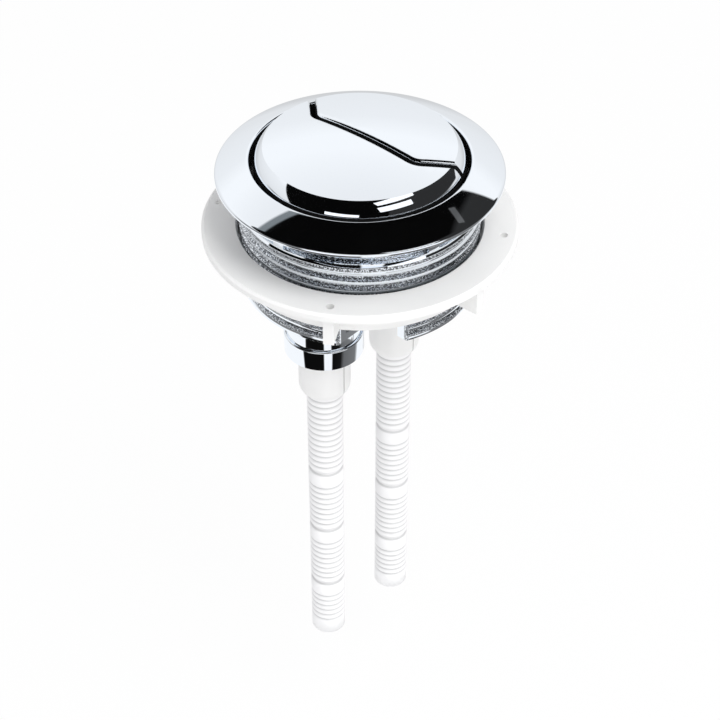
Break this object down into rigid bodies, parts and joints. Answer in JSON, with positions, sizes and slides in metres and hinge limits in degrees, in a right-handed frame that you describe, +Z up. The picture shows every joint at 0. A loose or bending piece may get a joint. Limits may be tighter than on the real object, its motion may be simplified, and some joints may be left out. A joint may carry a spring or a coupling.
{
  "type": "push button cistern actuator",
  "caption": "Dual flush push button for a cistern lid: chromed ring with a split crowned button, threaded barrel with clamp nut, and spring-returned plungers that carry long push rods.",
  "frame": {"origin": "on the axis of the barrel, in the plane of the lid that the bezel rests on", "axes": "+Z up along the barrel's axis, +X from the full flush rod towards the half flush rod"},
  "size_m": [0.076, 0.076, 0.1589],
  "materials": {
    "chrome": "bright chrome plating on moulded plastic",
    "white_plastic": "moulded, semi-gloss",
    "rod_plastic": "moulded, semi-gloss, finely ringed",
    "spring_steel": "drawn stainless wire",
    "screw_steel": "plain stainless"
  },
  "bodies": {
    "housing": {"bezel": "chrome", "barrel": "chrome", "full_spring": "spring_steel", "half_spring": "spring_steel"},
    "full_flush": {"full_button": "chrome", "full_plunger": "white_plastic", "full_screw": "screw_steel"},
    "half_flush": {"half_button": "chrome", "half_plunger": "white_plastic", "half_screw": "screw_steel"},
    "full_extension": {"full_rod": "rod_plastic"},
    "half_extension": {"half_rod": "rod_plastic"},
    "nut": {"clamp_nut": "white_plastic"}
  },
  "joints": [
    {"name": "full_press", "type": "slide", "parent": "housing", "child": "full_flush", "axis": [0, 0, -1], "range_m": [0, 0.008], "stiffness_N_per_m": 600, "springref_m": -0.006, "deforming": ["full_spring"]},
    {"name": "half_press", "type": "slide", "parent": "housing", "child": "half_flush", "axis": [0, 0, -1], "range_m": [0, 0.008], "stiffness_N_per_m": 600, "springref_m": -0.006, "deforming": ["half_spring"]},
    {"name": "full_rod_adjust", "type": "slide", "parent": "full_flush", "child": "full_extension", "axis": [0, 0, 1], "range_m": [-0.014, 0.012]},
    {"name": "half_rod_adjust", "type": "slide", "parent": "half_flush", "child": "half_extension", "axis": [0, 0, 1], "range_m": [-0.014, 0.012]},
    {"name": "nut_travel", "type": "slide", "parent": "housing", "child": "nut", "axis": [0, 0, 1], "range_m": [-0.01, 0.01]}
  ]
}
